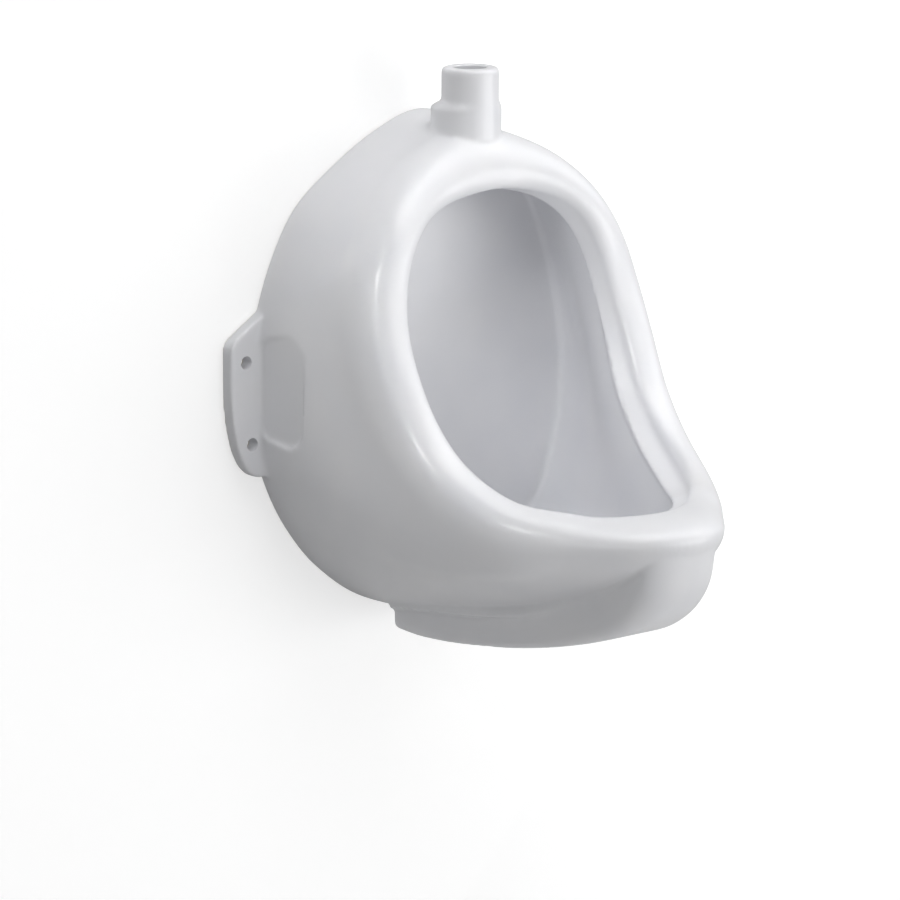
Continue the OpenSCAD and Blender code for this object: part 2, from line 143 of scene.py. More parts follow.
# Stations of the outlines, from the top down one side, as shares of the lengths above. Those of the
# foot run from its back along the underside and up the nose. The back outline and the rim's edge come
# from a fit to the outlines in the photo, and the rim's section and side wall started from that fit.
TABLES = {
    # back outline: half width and height
    "back_x": [0, 0.272, 0.528, 0.736, 0.876, 0.972, 0.997, 0.977, 0.912, 0.792, 0.61, 0.341, 0],
    "back_z": [1, 0.965, 0.903, 0.834, 0.737, 0.618, 0.498, 0.384, 0.292, 0.201, 0.113, 0.036, 0],
    # inner edge of the rim: half width, distance from the wall and height
    "rim_x": [0, 0.347, 0.607, 0.797, 0.923, 0.984, 0.99, 0.943, 0.867, 0.733, 0.498, 0.289, 0],
    "rim_d": [0, -0.009, 0.006, 0.035, 0.065, 0.107, 0.174, 0.286, 0.451, 0.657, 0.844, 0.949, 1],
    "rim_z": [1, 0.976, 0.93, 0.854, 0.741, 0.596, 0.444, 0.266, 0.116, 0.017, 0.007, 0.004, 0],
    # outline of the bowl's back wall: half width and height
    "inside_x": [0, 0.24, 0.46, 0.635, 0.775, 0.893, 0.98, 1, 0.935, 0.815, 0.61, 0.32, 0],
    "inside_z": [1, 0.984, 0.944, 0.882, 0.79, 0.66, 0.505, 0.35, 0.2, 0.085, 0.028, 0.006, 0],
    # how far the rim's section leans back, in degrees
    "lean": [5, 6, 8, 11, 13, 20, 30, 41, 52, 64, 75, 84, 88],
    # section of the rim: bevel, crest and shoulder, each outward and up from the inner edge
    "bevel_out": [0.087, 0.17, 0.33, 0.42, 0.55, 0.75, 0.95, 0.734, 0.562],
    "bevel_up": [1, 0.92, 0.95, 0.85, 0.78, 0.68, 0.52, 0.32, 0.243],
    "crest_out": [0.465, 0.475, 0.52, 0.635, 0.69, 0.69, 0.64, 0.5, 0.437],
    "crest_up": [0.775, 0.85, 0.94, 0.833, 0.86, 0.8, 0.76, 0.321, 0.299],
    "shoulder_out": [1.397, 1.241, 1.16, 1.34, 1.38, 1.42, 1.36, 1.196, 1.491],
    "shoulder_up": [-0.792, -0.625, -0.49, -0.62, -0.64, -0.58, -0.48, -0.42, -0.35],
    # handles of the side wall's curve, at the wall and at the shoulder
    "side_start": [0.447, 0.446, 0.442, 0.437, 0.429, 0.42, 0.405, 0.35, 0.34],
    "side_end": [0.35, 0.34, 0.32, 0.3, 0.28, 0.25, 0.19, 0.14, 0.14],
    # how deep the channel behind the rim is
    "channel": [1, 0.7, 0.06, 0.05, 0.05],
    # handles of the inner wall's curve, at the back wall and under the rim
    "inner_start": [0.35, 0.35, 0.35, 0.4, 0.45],
    "inner_end": [0.3, 0.3, 0.3, 0.28, 0.25],
    # keel line of the foot: distance from its back and height
    "keel_d": [0, 0.103, 0.211, 0.321, 0.431, 0.542, 0.65, 0.748, 0.838, 0.915, 0.968, 0.991, 1],
    "keel_z": [0, 0, 0.011, 0.036, 0.069, 0.115, 0.174, 0.243, 0.329, 0.455, 0.622, 0.82, 1],
    # section of the foot: half width, rounding across and up, side, root and ledge
    "keel_w": [0.93, 1, 0.985, 0.96, 0.92, 0.87, 0.82, 0.77, 0.73, 0.7, 0.68, 0.67, 0.67],
    "keel_round": [0.16, 0.16, 0.16, 0.17, 0.19, 0.23, 0.3, 0.4, 0.54, 0.7, 0.84, 0.92, 0.92],
    "keel_curve": [0.28, 0.28, 0.28, 0.29, 0.31, 0.34, 0.4, 0.48, 0.56, 0.62, 0.68, 0.72, 0.76],
    "keel_side": [0.68, 0.92, 1, 1, 1, 1, 1.15, 1.4, 1.6, 1.6, 1.4, 1.2, 1],
    "keel_root": [1.15, 1.3, 1.35, 1.35, 1.35, 1.35, 1.5, 1.75, 1.95, 1.95, 1.75, 1.5, 1.3],
    "keel_ledge": [1, 1.7, 1.8, 1.7, 1.4, 0.9, 0.5, 0.3, 0.2, 0.2, 0.2, 0.2, 0.2],
}


# Small mesh and node helpers

def solid(name, points, faces):
    """A closed solid from points in millimetres, given as across, out from the wall, up."""
    pts = np.asarray(points, float) * [1, -1, 1] * MM
    mesh = bpy.data.meshes.new(name)
    mesh.from_pydata(pts.tolist(), [], [tuple(int(i) for i in f) for f in faces])
    mesh.validate()
    mesh.update()
    mesh.shade_smooth()
    bm = bmesh.new()
    bm.from_mesh(mesh)
    bmesh.ops.recalc_face_normals(bm, faces=bm.faces)
    bm.to_mesh(mesh)
    bm.free()
    obj = bpy.data.objects.new(name, mesh)
    bpy.context.scene.collection.objects.link(obj)
    return obj


def grid_faces(rows, cols, wrap):
    """Quads between rows of points. wrap closes each row to a ring."""
    last = cols if wrap else cols - 1
    return [
        (r * cols + c, (r + 1) * cols + c, (r + 1) * cols + (c + 1) % cols, r * cols + (c + 1) % cols)
        for r in range(rows - 1) for c in range(last)
    ]


def end_caps(rings, steps):
    """The two faces that close a stack of rings."""
    return [tuple(range(steps)), tuple((rings - 1) * steps + j for j in range(steps - 1, -1, -1))]


def apply_modifiers(obj):
    """Turns what the modifiers give into the object's own mesh."""
    graph = bpy.context.evaluated_depsgraph_get()
    made = bpy.data.meshes.new_from_object(obj.evaluated_get(graph))
    obj.modifiers.clear()
    obj.data = made


def combine(obj, tool, operation):
    """Joins a tool solid to the object, or cuts it away, and drops the tool."""
    mod = obj.modifiers.new(operation.lower(), "BOOLEAN")
    mod.operation = operation
    mod.solver = "MANIFOLD"
    mod.object = tool
    apply_modifiers(obj)
    bpy.data.objects.remove(tool)


def srgb(code):
    """A linear colour with alpha from an sRGB hex code."""
    parts = [int(code[i:i + 2], 16) / 255 for i in (1, 3, 5)]
    return [p / 12.92 if p <= 0.04045 else ((p + 0.055) / 1.055) ** 2.4 for p in parts] + [1.0]


def add_node(mat, kind, settings=None, **links):
    """Adds a node. settings set its properties or sockets, links join sockets to other outputs."""
    node = mat.node_tree.nodes.new(kind)
    for key, value in (settings or {}).items():
        if key in node.inputs:
            node.inputs[key].default_value = value
        else:
            setattr(node, key, value)
    for key, source in links.items():
        mat.node_tree.links.new(source, node.inputs[key.replace("_", " ")])
    return node


def new_material(name):
    """A material with an empty node tree."""
    mat = bpy.data.materials.new(name)
    mat.use_nodes = True
    mat.node_tree.nodes.clear()
    return mat


def close_material(mat, shader):
    """Joins the last shader to the material's output."""
    out = mat.node_tree.nodes.new("ShaderNodeOutputMaterial")
    mat.node_tree.links.new(shader, out.inputs["Surface"])
    return mat


# Outlines of the china

def unit(v):
    """The same directions, each of length 1."""
    return v / np.linalg.norm(v, axis=-1, keepdims=True)


def at(name, a, odd=False):
    """Value of a share table at the angles a, smooth through its stations.

    odd is for widths, which change sign past the middle line."""
    tab = np.asarray(TABLES[name], float)
    n = len(tab) - 1
    s = -1.0 if odd else 1.0
    ext = np.concatenate([s * tab[2:0:-1], tab, s * tab[-2:-4:-1]])
    u = np.asarray(a, float) / 180 * n
    i = np.minimum(np.floor(u).astype(int), n - 1)
    f = u - i
    p, q, r, t = ext[i + 1], ext[i + 2], ext[i + 3], ext[i + 4]
    square, cube = 2 * p - 5 * q + 4 * r - t, 3 * q - p - 3 * r + t
    return (2 * q + (r - p) * f + square * f ** 2 + cube * f ** 3) / 2


def rim_line(a):
    """The inner edge of the rim at the angles a, also a little past either end."""
    side = np.where((a < 0) | (a > 180), -1.0, 1.0)
    b = np.abs(a)
    b = np.where(b > 180, 360 - b, b)
    return np.stack([
        side * OPENING_W / 2 * at("rim_x", b, True),
        OPENING_TOP_D + (LIP_D - OPENING_TOP_D) * at("rim_d", b),
        -LIP_DROP + (OPENING_TOP_Z + LIP_DROP) * at("rim_z", b)], -1)


def curve(p, q, r, s, n):
    """n points of a four point curve, the first point left out."""
    u = (np.arange(1, n + 1) / n)[None, :, None]
    p, q, r, s = (w[:, None, :] for w in (p, q, r, s))
    return (1 - u) ** 3 * p + 3 * (1 - u) ** 2 * u * q + 3 * (1 - u) * u * u * r + u ** 3 * s


def rounded_outline(corners):
    """Outline with round corners, each given as centre across, centre up, radius and first angle."""
    points = []
    for across, up, r, start in corners:
        turn = np.radians(np.arange(start, start + 91, 6))
        points += [(across + r * math.cos(t), up + r * math.sin(t)) for t in turn]
    return points


# Bowl and foot

def bowl_sections(a):
    """Sections through the china at the angles a, from the back over the rim to the bowl's back wall."""
    def share(name, odd=False):
        return at(name, a, odd)[:, None]

    def dot(x, y):
        return (x * y).sum(1, keepdims=True)

    edge = rim_line(a)
    along = unit(rim_line(a + 1) - rim_line(a - 1))
    lean = np.radians(at("lean", a))
    up = np.stack([0 * lean, np.cos(lean), np.sin(lean)], 1)
    up = unit(up - dot(up, along) * along)
    out = np.cross(along, up)
    r, away = BACK_EDGE_R, np.array([0, 1.0, 0])
    back = np.stack([
        BODY_W / 2 * at("back_x", a, True), 0 * a,
        -BODY_BOTTOM + (BODY_TOP_Z + BODY_BOTTOM) * at("back_z", a)], 1)
    inward = -unit(np.stack([back[:, 0], 0 * a, back[:, 2] + LUG_T], 1))
    wall = back + away * r
    shoulder = edge + out * RIM_W * share("shoulder_out") + up * RIM_RISE * share("shoulder_up")
    crest = edge + out * RIM_W * share("crest_out") + up * RIM_RISE * share("crest_up")
    bevel = edge + out * BEVEL_W * share("bevel_out") + up * BEVEL_W * share("bevel_up")
    run = np.linalg.norm(shoulder - wall, axis=1, keepdims=True)
    rise_s, width_s = dot(crest - shoulder, up), dot(shoulder - crest, out)
    rise_b, width_b = dot(crest - bevel, up), dot(crest - bevel, out)
    g = share("channel")
    skin_depth, far = CHANNEL_DEPTH * g, CHANNEL_OUT * g
    under = edge + out * (far + CHANNEL_DEPTH / 4) - up * CHANNEL_DEPTH * (0.6 + g / 3)
    inside = np.stack([
        INSIDE_W / 2 * at("inside_x", a, True), 0 * a + BACK_WALL,
        -FLOOR_DROP + (INSIDE_TOP_Z + FLOOR_DROP) * at("inside_z", a)], 1)
    inside_out = inside + away * r - inward * r / 2
    run_in = np.linalg.norm(under - inside_out, axis=1, keepdims=True)
    side_handle = wall + away * run * share("side_start")
    shoulder_handle = shoulder - up * run * share("side_end")
    return np.concatenate([
        np.stack([back + inward * r, back + inward * r * 0.3 + away * r * 0.3, wall], 1),
        curve(wall, side_handle, shoulder_handle, shoulder, SIDE_POINTS),
        curve(shoulder, shoulder + up * rise_s * BOW, crest + out * width_s * BOW, crest, SHOULDER_POINTS),
        curve(crest, crest - out * width_b * BOW, bevel + up * rise_b * BOW, bevel, BEVEL_POINTS),
        # from the bevel to the inner edge, and round the roof of the channel to its far side
        np.stack([edge + (bevel - edge) * w for w in (0.75, 0.5, 0.3, 0.15)]
                 + [edge + out * skin_depth * 0.2 - up * skin_depth * 0.2,
                    edge + out * skin_depth - up * skin_depth * 0.1,
                    edge + out * (far + skin_depth) / 2.2 + up * skin_depth * 0.6,
                    edge + out * (far + skin_depth) / 1.8 + up * skin_depth * 0.9,
                    edge + out * far * 0.92 + up * skin_depth * 0.6, under], 1),
        curve(under, under - up * run_in * share("inner_end"),
              inside_out + away * run_in * share("inner_start"), inside_out, INNER_POINTS),
        (inside + inward * r / 2)[:, None]], 1)


def bowl(step=1.5):
    """The lofted bowl with its rolled rim, closed at the back. step is in degrees."""
    half = bowl_sections(np.arange(0, 180 + step / 2, step))
    other = half[-2:0:-1] * [-1, 1, 1]
    rings = np.concatenate([half, other])
    n, rows = len(rings), rings.shape[1]
    faces = grid_faces(n, rows, False) + [
        ((n - 1) * rows + j, j, j + 1, (n - 1) * rows + j + 1) for j in range(rows - 1)]
    faces += [tuple(i * rows for i in range(n)), tuple(i * rows + rows - 1 for i in range(n - 1, -1, -1))]
    return solid("china_bowl", rings.reshape(-1, 3), faces)


def keel(a):
    """The lowest line of the foot at the angles a, as out from the wall and up."""
    return np.stack([
        FOOT_BACK_D + (CHIN_D - FOOT_BACK_D) * at("keel_d", a),
        -FOOT_DROP + CHIN_RISE * at("keel_z", a)], -1)


def foot(step=2.0):
    """The foot, swept along its keel from the back of the underside up the nose to the lip."""
    a = np.arange(0, 180 + step / 2, step)
    p, run = keel(a), unit(keel(np.minimum(a + 2, 180)) - keel(np.maximum(a - 2, 0)))
    half = FOOT_W / 2 * at("keel_w", a)
    reach, curl = half * at("keel_round", a), FOOT_SIDE * at("keel_curve", a)
    side, root = FOOT_SIDE * at("keel_side", a), FOOT_SIDE * at("keel_root", a)
    ledge = FOOT_FILLET * at("keel_ledge", a)
    turn = np.radians(np.linspace(0, 90, 13))[:, None]
    flat = np.linspace(0, 1, 8)[:-1, None]
    x = np.concatenate([flat * (half - reach), half - reach + reach * np.sin(turn),
                        [half, half + ledge * 0.3, half + ledge, half + ledge]])
    h = np.concatenate([flat * 0 * half, curl - curl * np.cos(turn), [
        np.maximum(curl, side - FOOT_FILLET / 2) + FOOT_FILLET * 0.02,
        side - FOOT_FILLET * 0.1,
        side + FOOT_FILLET * 0.1,
        root]])
    x, h = np.concatenate([-x[:0:-1], x]), np.concatenate([h[:0:-1], h])
    rings = np.stack([x, p[:, 0] - run[:, 1] * h, p[:, 1] + run[:, 0] * h], -1).transpose(1, 0, 2)
    n, m = len(a), rings.shape[1]
    return solid("china_foot", rings.reshape(-1, 3), grid_faces(n, m, True) + end_caps(n, m))


# Lugs, horn, collar and the cuts

def prism(name, outline, low, high, place):
    """A closed prism. outline is in its own plane, place turns (u, v, height) into a point."""
    n = len(outline)
    points = [place(u, v, low) for u, v in outline] + [place(u, v, high) for u, v in outline]
    faces = [(i, (i + 1) % n, n + (i + 1) % n, n + i) for i in range(n)]
    faces += [tuple(range(n - 1, -1, -1)), tuple(range(n, 2 * n))]
    return solid(name, points, faces)


def turned(name, profile, centre_d, steps=128):
    """A closed solid turned about an upright axis from (radius, height) pairs."""
    prof = np.asarray(profile, float)
    turn = np.arange(steps) * 2 * math.pi / steps
    rings = np.stack([
        np.outer(prof[:, 0], np.cos(turn)),
        centre_d + np.outer(prof[:, 0], np.sin(turn)),
        np.outer(prof[:, 1], np.ones(steps))], -1)
    n = len(prof)
    return solid(name, rings.reshape(-1, 3), grid_faces(n, steps, True) + end_caps(n, steps))


def lug_outline():
    """Outline of a lug from inside the body, over its sloped top and round its outer edge."""
    x1, x0 = LUG_SPAN / 2, BODY_W / 2 - 2 * LUG_T
    top = np.array([x1, LUG_TOP])
    meet = np.array([BODY_W / 2 - LUG_T, LUG_SLOPE_TOP])
    slope = (meet - top) / np.linalg.norm(meet - top)
    tip, toe = np.array([x1, -LUG_T]), np.array([BODY_W / 2 - LUG_T / 2, -LUG_BOTTOM])
    corner = curve(*(w[None] for w in (
        top + slope * LUG_CORNER_R, top + slope * LUG_CORNER_R / 2,
        top - [0, LUG_CORNER_R / 2], top - [0, LUG_CORNER_R])), 10)[0]
    lower = curve(*(w[None] for w in (
        tip, np.array([x1, -HOLE_DROP * LUG_BULGE_SHARE]),
        np.array([x1 - LUG_TAPER, -LUG_BOTTOM]), toe)), 28)[0]
    inner = [[x0, -LUG_BOTTOM], [x0, LUG_SLOPE_TOP + LUG_T], meet, top + slope * LUG_CORNER_R]
    return np.concatenate([inner, corner, [tip], lower])


def lug(side):
    """The fixing lug on one side, flat on the wall."""
    return prism(f"lug_{side}", lug_outline() * [side, 1], 0, LUG_T, lambda u, v, h: (u, h, v))


def horn_root_z():
    """Height at which horn and collar start, inside the body."""
    return COLLAR_Z - COLLAR_SLOPE * HORN_ROOT_SLOPES


def horn():
    """The inlet horn with its rounded upper edge, still without its bore."""
    top_r = HORN_DIA / 2
    centre_r, centre_z = top_r - HORN_EDGE_R, HORN_TOP_Z - HORN_EDGE_R
    edge = [(centre_r + HORN_EDGE_R * math.cos(t), centre_z + HORN_EDGE_R * math.sin(t))
            for t in np.radians(np.arange(0, 91, 10))]
    return turned("horn", [(top_r, horn_root_z())] + edge, HORN_D)


def collar():
    """The step at the root of the horn, set back toward the wall and sloped up to the horn."""
    top_r, collar_r = HORN_DIA / 2, COLLAR_DIA / 2
    turn = np.radians(np.arange(0, 360, 3))
    ring = np.stack([np.cos(turn), np.sin(turn)], 1)
    set_back = HORN_D - COLLAR_SHIFT
    levels = [(collar_r, set_back, horn_root_z()), (collar_r, set_back, COLLAR_Z)]
    levels += [
        (collar_r + (top_r - collar_r) * w, HORN_D - COLLAR_SHIFT * (1 - w), COLLAR_Z + COLLAR_SLOPE * w)
        for w in (0.5, 1)]
    points = np.concatenate([
        np.column_stack([ring[:, 0] * r, d + ring[:, 1] * r, np.full(len(ring), z)]) for r, d, z in levels])
    n, steps = len(levels), len(ring)
    return solid("collar", points, grid_faces(n, steps, True) + end_caps(n, steps))


def screw_recess(side):
    """Tool for the shallow recess in a flank that makes room for the screws of the lug."""
    tilt = math.radians(RECESS_TILT)
    far = RECESS_D / RECESS_CORNERS
    near = far * RECESS_NEAR_SHARE

    def place(u, v, h):
        x = BODY_W / 2 - RECESS_DEPTH + h * math.cos(tilt) - u * math.sin(tilt)
        return (side * x, LUG_T + u * math.cos(tilt) + h * math.sin(tilt), v)

    outline = rounded_outline([
        (RECESS_D - far, RECESS_TOP - far, far, 0),
        (near, RECESS_TOP - far, near, 90),
        (near, -RECESS_DROP + far, near, 180),
        (RECESS_D - far, -RECESS_DROP + far, far, 270)])
    return prism("recess", outline, 0, 4 * RECESS_DEPTH, place)


def foot_hollow():
    """Tool for the hollow under the foot, up to the web that carries the waste."""
    half, back = FOOT_W / 2 - FOOT_WALL, FOOT_BACK_D + FOOT_WALL
    outline = rounded_outline([
        (half - HOLLOW_R, back + HOLLOW_R, HOLLOW_R, 270),
        (half - 2 * HOLLOW_R, back + (HOLLOW_L - 2 * HOLLOW_R), 2 * HOLLOW_R, 0),
        (-half + 2 * HOLLOW_R, back + (HOLLOW_L - 2 * HOLLOW_R), 2 * HOLLOW_R, 90),
        (-half + HOLLOW_R, back + HOLLOW_R, HOLLOW_R, 180)])
    low, high = -FOOT_DROP - CUT_OVER, -SEAT_DROP - OUTLET_WEB
    return prism("hollow", outline, low, high, lambda u, v, h: (u, v, h))


def fixing_hole(x, z):
    """Tool for a screw hole through a lug."""
    r = HOLE_DIA / 2
    ring = [(x + r * math.cos(t), z + r * math.sin(t)) for t in np.radians(np.arange(0, 360, 5))]
    return prism("hole", ring, -CUT_OVER, LUG_T + CUT_OVER, lambda u, v, h: (u, h, v))


def horn_bore():
    """Tool for the bore of the horn down into the bowl, a little wider at its mouth."""
    r = HORN_BORE / 2
    profile = [(r, INSIDE_TOP_Z - 2 * BACK_WALL), (r, HORN_TOP_Z - HORN_MOUTH),
               (r + HORN_MOUTH, HORN_TOP_Z + HORN_MOUTH_OVER), (r + HORN_MOUTH, HORN_TOP_Z + 2 * CUT_OVER)]
    return turned("bore", profile, HORN_D)


def outlet_seat():
    """Tool for the waste hole and the dished seat of its flange in the floor of the bowl."""
    rise = SEAT_DROP - FLOOR_DROP
    profile = [(OUTLET_HOLE / 2, -FOOT_DROP), (OUTLET_HOLE / 2, -SEAT_DROP), (SEAT_DIA / 2, -SEAT_DROP),
               (SEAT_DIA / 2 + rise, -SEAT_DROP + 2 * rise)]
    return turned("outlet", profile, OUTLET_D)


# Glazed skin over the joined china

def neighbours(mesh):
    """Both ends of every edge, and how many edges meet at each point."""
    edges = np.zeros(len(mesh.edges) * 2, np.int32)
    mesh.edges.foreach_get("vertices", edges)
    a, b = edges.reshape(-1, 2).T
    return a, b, np.bincount(np.concatenate([a, b]), minlength=len(mesh.vertices))


def averaged(values, a, b, count):
    """The mean of each point's neighbours."""
    out = np.zeros_like(values)
    for k in range(values.shape[1]):
        out[:, k] = np.bincount(a, values[b, k], len(values)) + np.bincount(b, values[a, k], len(values))
    return out / count[:, None]


def inward_corners(co, normal, voxel, a, b, count):
    """1 in the inward corners of the skin, 0 on its flat and outward parts, and soft between them."""
    flat_bend, full_bend = 0.03, 0.08
    spread_passes, spread_keep = 5, 0.96
    blur_passes, gain = 4, 1.6
    bend = ((averaged(co, a, b, count) - co) * normal).sum(1, keepdims=True)
    inward = np.clip((bend - flat_bend * voxel) / (full_bend * voxel), 0, 1)
    for _ in range(spread_passes):
        inward = np.maximum(inward, spread_keep * averaged(inward, a, b, count))
    for _ in range(blur_passes):
        inward = averaged(inward, a, b, count)
    return np.clip(inward * gain, 0, 1)


def skin(obj, voxel, fine_passes, fillet_passes):
    """One even skin over the joined solid, its inward corners run out to fillets as glaze and slip do."""
    # A pass moves each point half way to its neighbours. In the fine passes all but the inward corners
    # is then pushed back, so that it keeps its size.
    half_way, push_back, push_share = 0.5, 0.52, 0.9
    stair_passes = 4
    mod = obj.modifiers.new("skin", "REMESH")
    mod.mode = "VOXEL"
    mod.voxel_size = voxel * MM
    apply_modifiers(obj)
    mesh = obj.data
    co = np.zeros(len(mesh.vertices) * 3)
    mesh.vertices.foreach_get("co", co)
    co = co.reshape(-1, 3) / MM
    normal = np.zeros(len(mesh.vertices) * 3)
    mesh.vertices.foreach_get("normal", normal)
    normal = normal.reshape(-1, 3)
    a, b, count = neighbours(mesh)
    count = np.maximum(count, 1)
    for _ in range(stair_passes):
        co += half_way * (averaged(co, a, b, count) - co)
    inward = inward_corners(co, normal, voxel, a, b, count)
    for _ in range(fillet_passes):
        co += half_way * inward * (averaged(co, a, b, count) - co)
    for _ in range(fine_passes):
        co += half_way * (averaged(co, a, b, count) - co)
        co -= push_back * (averaged(co, a, b, count) - co) * (1 - inward) * push_share
    low, high = np.array(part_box("china_body")[0]) / MM, np.array(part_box("china_body")[1]) / MM
    co = np.clip(co, low, high)
    mesh.vertices.foreach_set("co", (co * MM).ravel())
    mesh.update()
    mesh.shade_smooth()


# The china body, joined, cut, skinned and drilled

china = bowl()
pieces = [foot(), lug(-1), lug(1), horn(), collar()]
for piece in pieces:
    combine(china, piece, "UNION")
for side in (-1, 1):
    combine(china, screw_recess(side), "DIFFERENCE")
combine(china, foot_hollow(), "DIFFERENCE")
skin(china, SKIN_VOXEL, fine_passes=8, fillet_passes=3)
for x, z in ((UPPER_SPAN / 2, 0), (LOWER_SPAN / 2, -HOLE_DROP)):
    for side in (-1, 1):
        combine(china, fixing_hole(side * x, z), "DIFFERENCE")
combine(china, horn_bore(), "DIFFERENCE")
combine(china, outlet_seat(), "DIFFERENCE")
china.data.shade_smooth()
china.data.set_sharp_from_angle(angle=math.radians(SHARP_ANGLE))
china.name = "glazed_china_body"
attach(china, "urinal")
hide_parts("china_body")


# Materials

def glazed_china():
    """White glazed vitreous china. The glaze pools a little unevenly, which gives a very slight waviness
    and tint, and the face on the wall is left bare, so the dense clay shows there matt and warmer."""
    mat = new_material("glazed_vitreous_china")
    place = add_node(mat, "ShaderNodeTexCoord").outputs["Object"]
    wave = add_node(mat, "ShaderNodeTexNoise", {
        "Scale": 1 / (35 * MM), "Detail": 1.0, "Roughness": 0.4}, Vector=place)
    peel = add_node(mat, "ShaderNodeTexNoise", {
        "Scale": 1 / (4 * MM), "Detail": 1.0, "Roughness": 0.5}, Vector=place)
    tint = add_node(mat, "ShaderNodeMix", {"data_type": "RGBA", "A": srgb("#e9eaee"), "B": srgb("#f0f0f2")})
    mat.node_tree.links.new(wave.outputs["Fac"], tint.inputs["Factor"])
    slow = add_node(mat, "ShaderNodeBump", {
        "Strength": 0.05, "Distance": 0.6 * MM}, Height=wave.outputs["Fac"])
    fine = add_node(mat, "ShaderNodeBump", {"Strength": 0.02, "Distance": 0.2 * MM},
                    Height=peel.outputs["Fac"], Normal=slow.outputs["Normal"])
    glaze = add_node(mat, "ShaderNodeBsdfPrincipled", {
        "Roughness": 0.36, "IOR": 1.5, "Coat Weight": 0.5, "Coat Roughness": 0.16, "Coat IOR": 1.52},
        Base_Color=tint.outputs["Result"], Normal=fine.outputs["Normal"], Coat_Normal=fine.outputs["Normal"])
    grain = add_node(mat, "ShaderNodeTexNoise", {"Scale": 1 / (1.2 * MM), "Detail": 3.0}, Vector=place)
    clay = add_node(mat, "ShaderNodeMix", {"data_type": "RGBA", "A": srgb("#ddd7cb"), "B": srgb("#e9e4da")})
    mat.node_tree.links.new(grain.outputs["Fac"], clay.inputs["Factor"])
    pitted = add_node(mat, "ShaderNodeBump", {
        "Strength": 0.2, "Distance": 0.2 * MM}, Height=grain.outputs["Fac"])
    bare = add_node(mat, "ShaderNodeBsdfPrincipled", {"Roughness": 0.85, "IOR": 1.5},
                    Base_Color=clay.outputs["Result"], Normal=pitted.outputs["Normal"])
    depth = add_node(mat, "ShaderNodeSeparateXYZ", Vector=place)
    at_wall = add_node(mat, "ShaderNodeMapRange", {"From Min": -1.6 * MM, "From Max": -0.4 * MM},
                       Value=depth.outputs["Y"])
    both = add_node(mat, "ShaderNodeMixShader", Fac=at_wall.outputs["Result"])
    mat.node_tree.links.new(glaze.outputs["BSDF"], both.inputs[1])
    mat.node_tree.links.new(bare.outputs["BSDF"], both.inputs[2])
    return close_material(mat, both.outputs["Shader"])


def chromed_brass():
    """Brass, turned, polished and chrome plated: a bright, slightly blue mirror with faint wipe marks."""
    mat = new_material("polished_chrome_plate")
    place = add_node(mat, "ShaderNodeTexCoord").outputs["Object"]
    wipe = add_node(mat, "ShaderNodeTexNoise", {
        "Scale": 1 / (2 * MM), "Detail": 3.0, "Roughness": 0.6}, Vector=place)
    rough = add_node(mat, "ShaderNodeMapRange", {"To Min": 0.07, "To Max": 0.17}, Value=wipe.outputs["Fac"])
    bump = add_node(mat, "ShaderNodeBump", {
        "Strength": 0.04, "Distance": 0.05 * MM}, Height=wipe.outputs["Fac"])
    shader = add_node(mat, "ShaderNodeBsdfPrincipled", {"Base Color": srgb("#dadddf"), "Metallic": 1.0},
                      Roughness=rough.outputs["Result"], Normal=bump.outputs["Normal"])
    return close_material(mat, shader.outputs["BSDF"])


def seal_rubber():
    """Black rubber moulded in a blasted tool: dull, nearly black, a fine grain breaks up the shine."""
    mat = new_material("moulded_black_rubber")
    place = add_node(mat, "ShaderNodeTexCoord").outputs["Object"]
    grain = add_node(mat, "ShaderNodeTexNoise", {"Scale": 1 / (0.6 * MM), "Detail": 2.0}, Vector=place)
    tint = add_node(mat, "ShaderNodeMix", {"data_type": "RGBA", "A": srgb("#1a1a1b"), "B": srgb("#272728")})
    mat.node_tree.links.new(grain.outputs["Fac"], tint.inputs["Factor"])
    rough = add_node(mat, "ShaderNodeMapRange", {"To Min": 0.5, "To Max": 0.7}, Value=grain.outputs["Fac"])
    bump = add_node(mat, "ShaderNodeBump", {
        "Strength": 0.25, "Distance": 0.1 * MM}, Height=grain.outputs["Fac"])
    shader = add_node(mat, "ShaderNodeBsdfPrincipled", {"IOR": 1.52}, Base_Color=tint.outputs["Result"],
                      Roughness=rough.outputs["Result"], Normal=bump.outputs["Normal"])
    return close_material(mat, shader.outputs["BSDF"])


def white_nylon():
    """Natural nylon, moulded: milky off-white that lets a little light in, with a soft sheen."""
    mat = new_material("moulded_natural_nylon")
    place = add_node(mat, "ShaderNodeTexCoord").outputs["Object"]
    cloud = add_node(mat, "ShaderNodeTexNoise", {"Scale": 1 / (8 * MM), "Detail": 2.0}, Vector=place)
    tint = add_node(mat, "ShaderNodeMix", {"data_type": "RGBA", "A": srgb("#e4e0d4"), "B": srgb("#edeae0")})
    mat.node_tree.links.new(cloud.outputs["Fac"], tint.inputs["Factor"])
    rough = add_node(mat, "ShaderNodeMapRange", {"To Min": 0.38, "To Max": 0.48}, Value=cloud.outputs["Fac"])
    shader = add_node(mat, "ShaderNodeBsdfPrincipled", {
        "IOR": 1.53, "Subsurface Weight": 0.15, "Subsurface Scale": 1 * MM},
        Base_Color=tint.outputs["Result"], Roughness=rough.outputs["Result"])
    return close_material(mat, shader.outputs["BSDF"])


